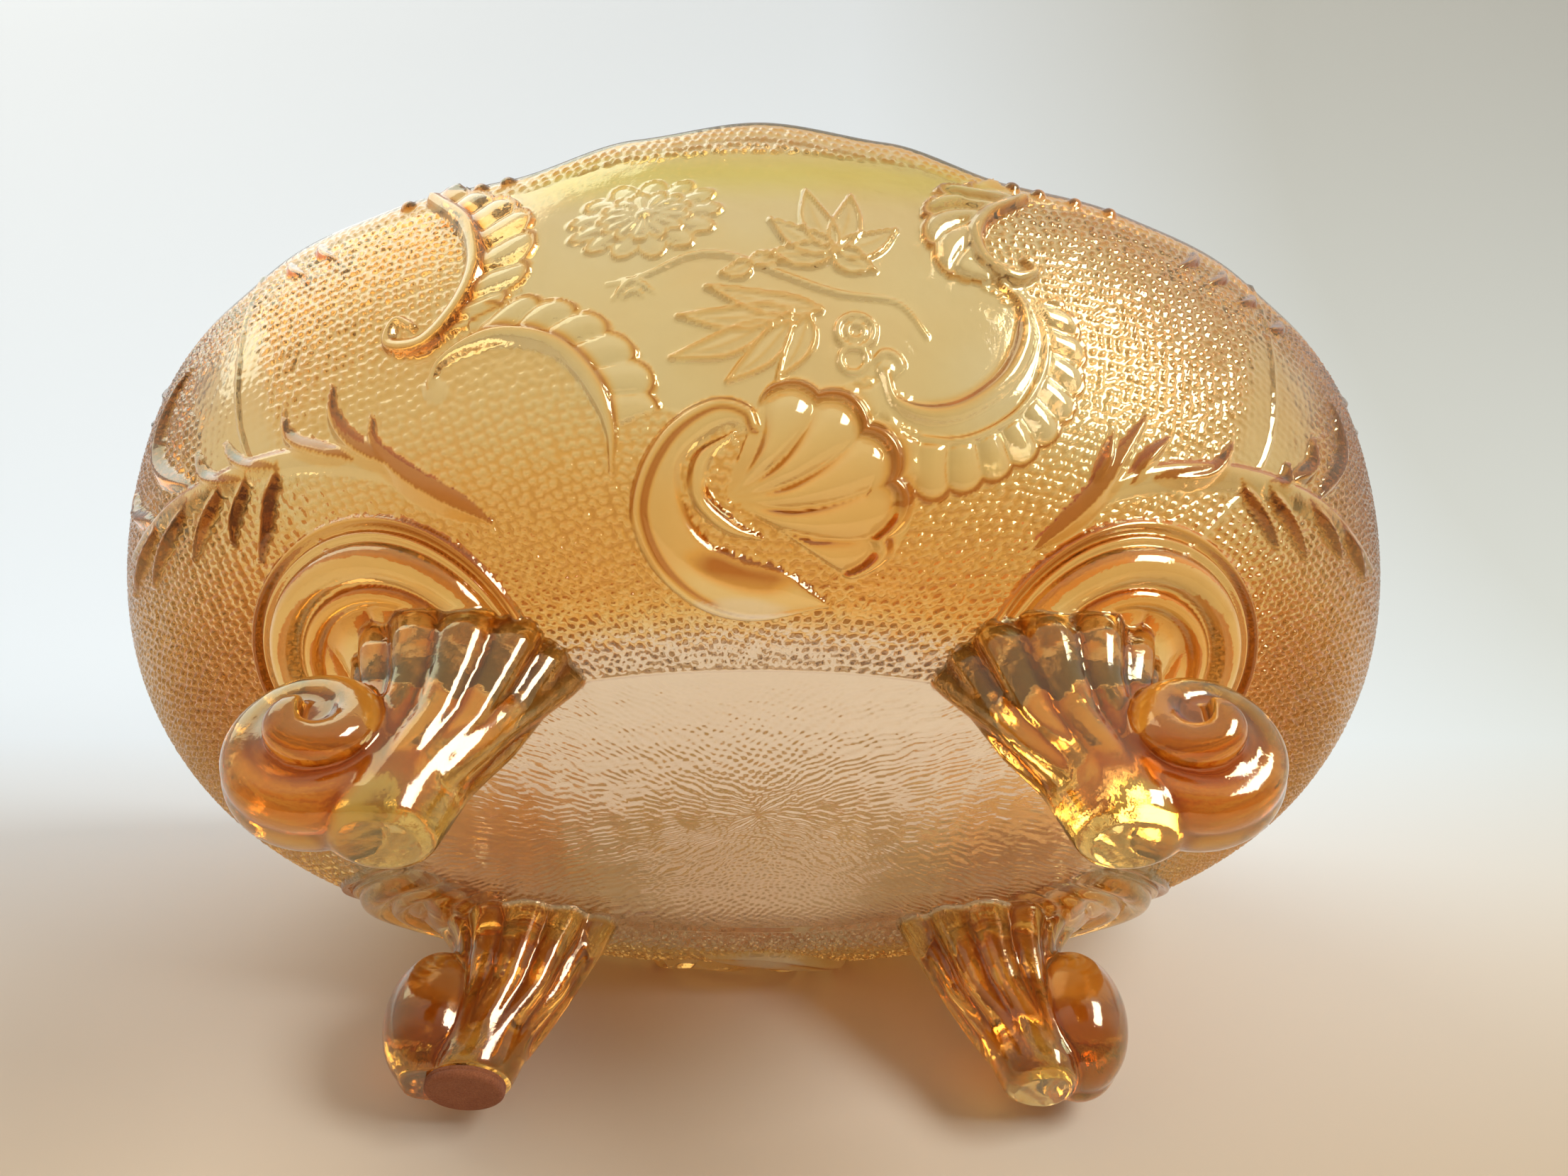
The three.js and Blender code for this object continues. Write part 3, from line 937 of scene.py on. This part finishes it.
def wall_tone(points, panel, outer):
    """The drawn tone at points of the outer wall, and which points are not on it."""
    tones = np.concatenate([panel.tone.reshape(panel.share.shape)] * 2, axis=1).ravel()
    tree = kdtree.KDTree(len(outer))
    for k, spot in enumerate(outer):
        tree.insert(spot, k)
    tree.balance()
    tone = np.zeros(len(points))
    off_wall = np.zeros(len(points), bool)
    rim_start = len(outer) - COLUMNS
    for k, spot in enumerate(points):
        _, nearest, distance = tree.find(spot)
        off_wall[k] = distance >= ON_WALL
        if distance < ON_WALL:
            tone[k] = tones[nearest]
        elif nearest >= rim_start and distance < RIM_BREADTH:
            tone[k] = RIM_FILM
    return tone, off_wall


def foot_zones(points, off_wall):
    """Which points stand out past the wall; how far points belong to a foot, its scroll, its toe."""
    height = points[:, 2]
    rise = np.clip((height - BASE_HEIGHT) / (RIM_HEIGHT - BASE_HEIGHT), 0, 1)
    out = np.sqrt(1 - (1 - rise) ** 2)
    a = BASE_HALF_LENGTH + (RIM_HALF_LENGTH - BASE_HALF_LENGTH) * out
    b = BASE_HALF_WIDTH + (RIM_HALF_WIDTH - BASE_HALF_WIDTH) * out
    beyond = (np.hypot(points[:, 0] / a, points[:, 1] / b) > 0.99) & off_wall & (height < 60)
    on_foot = np.maximum(smooth(37.3, 35.5, height), beyond) * smooth(20, 30, np.abs(points[:, 0]))
    volute = smooth(19, 16, np.linalg.norm(folded(points) - VOLUTE, axis=1))
    toe = smooth(12, 5, height) * (1 - volute)
    return beyond, on_foot, volute, toe


def set_film_and_shade(mesh, panel, outer):
    """Gives every point the four values, 0 to 1, that colour the glass.

    tone is the depth of the film with painted shade in grooves, on steep flanks and at the +X end, blush the
    pink of rim and ends, pale the nearly bare glass of the underside and inner floor, gold the yellow of
    feet, toes and the upper front and back.
    """
    points = points_of(mesh) / MM
    tone, off_wall = wall_tone(points, panel, outer)
    beyond, on_foot, volute, toe = foot_zones(points, off_wall)
    x, y, height = points.T
    end = np.abs(x)
    tone = np.maximum(tone, on_foot * (0.68 + 0.08 * volute) * (1 - 0.75 * toe))
    tone += 0.36 * smooth(64, 46, height) * smooth(37.8, 41, height)
    # deeper at both ends; the rise towards +X is painted shade
    tone += (0.2 + 0.12 * smooth(-60, 60, x)) * smooth(90, 135, end)
    tone += 0.15 * smooth(40, 70, end) * smooth(60, 85, height)
    tone += on_foot * (0.2 * smooth(28, 40, height) + 0.12 * (y > 0))
    blush = np.clip(0.3 * smooth(92, 117, height) + 0.35 * smooth(105, 142, end), 0, 1)
    gold = smooth(98, 106, height) * smooth(48, 34, end) * smooth(114, 110, height) + 0.7 * on_foot * toe
    gold = np.maximum(gold, 0.45 * on_foot)
    inside_floor = off_wall & ~beyond & (height > 42) & (height < 45)
    pale = np.maximum(smooth(38, 37.6, height) * smooth(36, 37, height) * (1 - on_foot), 0.3 * inside_floor)
    averaged = neighbour_mean(mesh)
    points = soften_joints(mesh, points, on_foot, averaged)
    # painted shade in the feet's grooves, and painted light on their crests
    tone = np.clip(tone + 0.7 * on_foot * hollowness(mesh, points, averaged), 0, 1)
    for name, values in (("tone", tone), ("blush", blush), ("pale", pale), ("gold", gold)):
        mesh.attributes.new(name, "FLOAT", "POINT").data.foreach_set("value", values)


def neighbour_mean(mesh):
    """A function that averages values over each point's neighbours."""
    edges = np.empty(len(mesh.edges) * 2, int)
    mesh.edges.foreach_get("vertices", edges)
    edges = edges.reshape(-1, 2)
    count = np.maximum(np.bincount(edges.ravel(), minlength=len(mesh.vertices)), 1)

    def averaged(values):
        total = np.zeros_like(values)
        np.add.at(total, edges[:, 0], values[edges[:, 1]])
        np.add.at(total, edges[:, 1], values[edges[:, 0]])
        return total / (count[:, None] if values.ndim > 1 else count)

    return averaged


FILLET_SPREAD = 6  # rounds that widen the band which is softened
FILLET_ROUNDS = 16  # rounds of softening
FULL_HOLLOW = 0.04  # the bend, in mm, that counts as a full groove


def soften_joints(mesh, points, on_foot, averaged):
    """Gives the corners where the feet meet the bowl a small fillet, as poured glass has."""
    near = (on_foot > 0.5).astype(float)
    for _ in range(FILLET_SPREAD):
        near = averaged(near)
    weight = 0.6 * np.clip(5 * near * (1 - near), 0, 1)[:, None]
    for _ in range(FILLET_ROUNDS):
        points = points + weight * (averaged(points) - points)
    mesh.vertices.foreach_set("co", (points * MM).ravel())
    mesh.update()
    return points


def hollowness(mesh, points, averaged):
    """1 in grooves, 0 on flats, minus 0.4 on crests, smoothed over neighbours."""
    normals = np.empty(len(points) * 3)
    mesh.vertices.foreach_get("normal", normals)
    bend = ((averaged(points) - points) * normals.reshape(-1, 3)).sum(axis=1)
    for _ in range(3):
        bend = averaged(bend)
    return np.clip(bend / FULL_HOLLOW, -0.4, 1)


# share of the pad's radius, share of its thickness; the notch at 0.62 is where felt meets backing
PAD_PROFILE = [
    (0.1, 0.03), (0.4, 0.02), (0.7, 0.0), (0.86, 0.0), (0.94, 0.06),
    (0.985, 0.2), (1.0, 0.4), (0.99, 0.56), (0.965, 0.62), (0.99, 0.68),
    (1.0, 0.82), (0.98, 0.95), (0.9, 1.0), (0.5, 1.0), (0.1, 1.0),
]
PAD_SIDES = 160
FRIZZ = 0.012  # how uneven the pad's edge is, as a share of its radius


def felt_pad():
    """A round pad: fuzzy domed faces, a rounded edge and the line between felt and backing."""
    low, high = (np.array(corner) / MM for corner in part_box("felt_pad"))
    centre = (low + high) / 2
    radius = (high[0] - low[0]) / 2
    turn = np.arange(PAD_SIDES) * 2 * math.pi / PAD_SIDES
    circle = np.stack([np.cos(turn), np.sin(turn), np.zeros(PAD_SIDES)], -1)
    rings = []
    for share, rise in PAD_PROFILE:
        frizz = 1 - FRIZZ * np.abs(np.sin(turn * 37 + rise * 9)) * smooth(0.9, 1, share)
        ring = circle * (radius * share * frizz)[:, None]
        rings.append(ring + [centre[0], centre[1], low[2] + rise * (high[2] - low[2])])
    pad = mesh_object("felt_pad_round", *stitched(rings))
    shade_smooth(pad.data)
    return pad


# --- materials ---

class Nodes:
    """A short way to add and link the shader nodes of a new material or world."""

    def __init__(self, owner, output="OutputMaterial"):
        self.owner = owner
        owner.use_nodes = True
        self.tree = owner.node_tree
        self.tree.nodes.clear()
        self.output = self.add(output)

    def put(self, socket, value):
        """Links another node's output to the socket, or gives it a constant."""
        if isinstance(value, bpy.types.NodeSocket):
            self.tree.links.new(value, socket)
        else:
            socket.default_value = value

    def add(self, kind, **inputs):
        node = self.tree.nodes.new("ShaderNode" + kind)
        for name, value in inputs.items():
            self.put(node.inputs[name.replace("_", " ")], value)
        return node

    def finish(self, shader):
        self.put(self.output.inputs["Surface"], shader.outputs[0])
        return self.owner

    def ramp(self, factor, stops):
        node = self.add("ValToRGB", Fac=factor)
        elements = node.color_ramp.elements
        while len(elements) < len(stops):
            elements.new(0.5)
        for element, (place, colour) in zip(elements, stops):
            element.position = place
            element.color = (*colour, 1)
        return node.outputs["Color"]

    def mix(self, factor, first, second, kind="MIX"):
        node = self.add("Mix")
        node.data_type = "RGBA"
        node.blend_type = kind
        for socket, value in ((0, factor), (6, first), (7, second)):
            self.put(node.inputs[socket], value)
        return node.outputs[2]

    def tinted(self, amount, colour, tint):
        """The colour, multiplied by the tint as far as the amount says."""
        return self.mix(amount, colour, self.mix(1.0, colour, tint, "MULTIPLY"))

    def attribute(self, name):
        """The value that set_film_and_shade gave to every point."""
        node = self.add("Attribute")
        node.attribute_name = name
        return node.outputs["Fac"]

    def math(self, operation, first, second):
        node = self.add("Math")
        node.operation = operation
        self.put(node.inputs[0], first)
        self.put(node.inputs[1], second)
        return node.outputs[0]

    def along(self, place, axis, low, high):
        """0 where the place is low on the axis, 1 where it is high."""
        value = self.add("SeparateXYZ", Vector=place).outputs[axis]
        return self.add("MapRange", Value=value, From_Min=low, From_Max=high).outputs[0]


FILM_THICKNESS = 270.0  # nanometres


def carnival_glass():
    """Pale amber glass under a marigold film that is deeper on edges, knees and scrolls, with painted shade
    in grooves and on steep flanks.
    """
    n = Nodes(bpy.data.materials.new("carnival_glass_look"))
    place = n.add("TexCoord").outputs["Object"]
    patches = n.add("TexNoise", Vector=place, Scale=22.0, Detail=3.0, Roughness=0.55).outputs["Fac"]
    base = n.ramp(patches, [(0.3, (0.91, 0.68, 0.33)), (0.5, (0.90, 0.63, 0.26)), (0.7, (0.91, 0.58, 0.22))])
    film = n.ramp(n.attribute("tone"), [
        (0.0, (1.0, 1.0, 1.0)), (0.25, (0.99, 0.80, 0.52)),
        (0.6, (0.96, 0.50, 0.14)), (0.95, (0.40, 0.085, 0.008)),
    ])
    colour = n.mix(1.0, base, film, "MULTIPLY")
    colour = n.tinted(n.attribute("blush"), colour, (1.0, 0.72, 0.60, 1))
    colour = n.mix(n.attribute("pale"), colour, (0.90, 0.74, 0.62, 1))
    colour = n.tinted(n.attribute("gold"), colour, (0.95, 1.0, 0.38, 1))
    ripple = n.add("TexNoise", Vector=place, Scale=1500.0, Detail=2.0).outputs["Fac"]
    swell = n.add("TexNoise", Vector=place, Scale=160.0, Detail=2.0).outputs["Fac"]
    fine = n.add("Bump", Strength=0.12, Distance=0.0002, Height=ripple).outputs["Normal"]
    normal = n.add("Bump", Strength=0.35, Distance=0.0006, Height=swell, Normal=fine).outputs["Normal"]
    return n.finish(n.add(
        "BsdfPrincipled", Base_Color=colour, Roughness=0.04, IOR=1.52, Normal=normal,
        Transmission_Weight=0.92, Specular_IOR_Level=0.5,
        Thin_Film_Thickness=FILM_THICKNESS, Thin_Film_IOR=1.75,
        Coat_Weight=0.4, Coat_Roughness=0.12, Coat_IOR=1.7,
    ))


def brown_felt():
    n = Nodes(bpy.data.materials.new("felt_look"))
    place = n.add("TexCoord").outputs["Object"]
    fibres = n.add(
        "TexNoise", Vector=place, Scale=2600.0, Detail=4.0, Roughness=0.7, Distortion=1.5,
    ).outputs["Fac"]
    cloud = n.add("TexNoise", Vector=place, Scale=320.0, Detail=3.0).outputs["Fac"]
    browns = [(0.3, (0.24, 0.075, 0.028)), (0.55, (0.44, 0.16, 0.065)), (0.8, (0.62, 0.27, 0.13))]
    colour = n.mix(cloud, n.ramp(fibres, browns), (0.80, 0.62, 0.50, 1), "MULTIPLY")
    normal = n.add("Bump", Strength=0.7, Distance=0.0003, Height=fibres).outputs["Normal"]
    shader = n.add("BsdfPrincipled", Base_Color=colour, Roughness=0.95, Normal=normal, Sheen_Weight=0.1)
    return n.finish(shader)


# --- stage, in metres ---
FLOOR_REACH = 3
CLOTH_FOOT = np.array([0.057, 0.0])  # y and z where the cloth passes under the rear feet
CLOTH_SLOPE = math.radians(68)
CLOTH_STRAIGHT = 0.2  # how far up it stays straight before it curls over the top
CLOTH_BENDS = 12
GATES = 3  # clear sheets under the floor, which tell the view from below from the views from above
GATE_DEPTH = 0.06
ROOM_STRENGTH = 0.66


def sheet(name, profile, half_width):
    """A wide strip of the stage that follows a (y, z) profile."""
    points = [(x, y, z) for y, z in profile for x in (-half_width, half_width)]
    faces = [(2 * k, 2 * k + 1, 2 * k + 3, 2 * k + 2) for k in range(len(profile) - 1)]
    mesh = bpy.data.meshes.new(name)
    mesh.from_pydata(points, [], faces)
    shade_smooth(mesh)
    made = placed(name, mesh)
    return made


def stage_paint(n, colour, seen_after_gate):
    """Matt paint that only shows to rays which have, or have not, passed the clear gate."""
    path = n.add("LightPath").outputs
    operation = "GREATER_THAN" if seen_after_gate else "LESS_THAN"
    seen = n.math(operation, path["Transparent Depth"], GATES - 0.5)
    both = n.add("MixShader")
    n.put(both.inputs[0], n.math("MULTIPLY", seen, n.math("SUBTRACT", 1.0, path["Is Shadow Ray"])))
    n.put(both.inputs[1], n.add("BsdfTransparent").outputs[0])
    n.put(both.inputs[2], n.add("BsdfDiffuse", Color=colour).outputs[0])
    return n.finish(both)


def cloth_profile():
    """Straight up a steep slope, then round and over."""
    slope = np.array([math.cos(CLOTH_SLOPE), math.sin(CLOTH_SLOPE)])
    profile = [tuple(CLOTH_FOOT + slope * d) for d in (-0.8, 0.0, CLOTH_STRAIGHT)]
    spot, heading = CLOTH_FOOT + slope * CLOTH_STRAIGHT, CLOTH_SLOPE
    for _ in range(CLOTH_BENDS):
        heading += math.radians(4)
        spot = spot + 0.05 * np.array([math.cos(heading), math.sin(heading)])
        profile.append(tuple(spot))
    return profile


def stage():
    """A pale floor for views from above; for the view from below, a pale cloth behind the feet, with painted
    light and shade on it.
    """
    floor = sheet("floor", [(-FLOOR_REACH, 0), (FLOOR_REACH, 0)], FLOOR_REACH)
    n = Nodes(bpy.data.materials.new("floor_paint"))
    floor.data.materials.append(stage_paint(n, (0.80, 0.78, 0.75, 1), False))
    n = Nodes(bpy.data.materials.new("gate_clear"))
    clear = n.finish(n.add("BsdfTransparent"))
    for k in range(GATES):
        depth = -GATE_DEPTH - 0.002 * k
        gate = sheet("gate_%d" % k, [(-FLOOR_REACH, depth), (FLOOR_REACH, depth)], FLOOR_REACH)
        gate.data.materials.append(clear)
        gate.visible_diffuse = gate.visible_glossy = gate.visible_transmission = gate.visible_shadow = False
    cloth = sheet("cloth", cloth_profile(), 1.5)
    n = Nodes(bpy.data.materials.new("cloth_paint"))
    place = n.add("NewGeometry").outputs["Position"]
    # painted light and shade on the cloth: warm and darker at its foot, cool and bright higher up, darker
    # towards +X
    shade = n.ramp(n.along(place, "Z", -0.02, 0.2), [
        (0.0, (0.72, 0.59, 0.43)), (0.3, (0.80, 0.72, 0.61)), (0.8, (0.86, 0.93, 0.97)),
    ])
    painted_shade_right = n.ramp(n.along(place, "X", 0.06, 0.32), [(0.0, (1.0, 1.0, 1.0)), (1.0, (0.74, 0.70, 0.62))])
    cloth.data.materials.append(stage_paint(n, n.mix(1.0, shade, painted_shade_right, "MULTIPLY"), True))


def lights():
    """A room that is brown below and bright above, a window at the right, and a weak fill."""
    n = Nodes(bpy.data.worlds.new("soft_room"), "OutputWorld")
    bpy.context.scene.world = n.owner
    sky = n.ramp(n.along(n.add("TexCoord").outputs["Generated"], "Z", -1.0, 1.0), [
        (0.0, (0.34, 0.23, 0.14)), (0.4, (0.50, 0.40, 0.30)),
        (0.55, (0.80, 0.78, 0.76)), (1.0, (0.95, 0.98, 1.0)),
    ])
    n.finish(n.add("Background", Color=sky, Strength=ROOM_STRENGTH))
    area("window", (0.62, -0.70, 0.10), (0, -0.05, 0.06), 0.32, 0.45, 6.0, (0.93, 0.97, 1.0))
    area("fill", (-0.5, -0.35, 0.75), (0, 0, 0.05), 0.8, 0.8, 3.0, (1.0, 0.97, 0.93))


def area(name, position, target, width, height, power, colour):
    data = bpy.data.lights.new(name, "AREA")
    data.shape = "RECTANGLE"
    data.size, data.size_y = width, height
    data.energy = power
    data.color = colour
    made = placed(name, data)
    made.location = position
    made.rotation_mode = "QUATERNION"
    made.rotation_quaternion = (Vector(target) - Vector(position)).to_track_quat("-Z", "Y")


CAMERA_PLACE = (0.0002, -0.212, -0.1182)
CAMERA_TURNS = (46.192, 1.526, -0.851)  # upwards, to the right, and round its own axis, in degrees
FOCAL_LENGTH = 29.715


def camera():
    """From in front and below, looking up at the base and the front wall."""
    pitch, yaw, roll = (math.radians(turn) for turn in CAMERA_TURNS)
    forward = Vector((math.sin(yaw) * math.cos(pitch), math.cos(yaw) * math.cos(pitch), math.sin(pitch)))
    right = Vector((math.cos(yaw), -math.sin(yaw), 0))
    up = right.cross(forward)
    turned_right = right * math.cos(roll) + up * math.sin(roll)
    turned_up = up * math.cos(roll) - right * math.sin(roll)
    data = bpy.data.cameras.new("camera")
    data.sensor_width = 36
    data.lens = FOCAL_LENGTH
    data.clip_start = 0.01
    made = placed("camera", data)
    basis = Matrix((turned_right, turned_up, -forward)).transposed().to_4x4()
    made.matrix_world = Matrix.Translation(CAMERA_PLACE) @ basis
    bpy.context.scene.camera = made


bpy.context.scene.view_settings.view_transform = "Standard"
camera()
stage()
lights()

glass = whole_glass()
glass.data.materials.clear()
glass.data.materials.append(carnival_glass())
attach(glass, "root")
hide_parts("bowl", "foot_front_left", "foot_front_right", "foot_rear_left", "foot_rear_right")

pad = felt_pad()
pad.data.materials.append(brown_felt())
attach(pad, "root")
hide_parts("felt_pad")
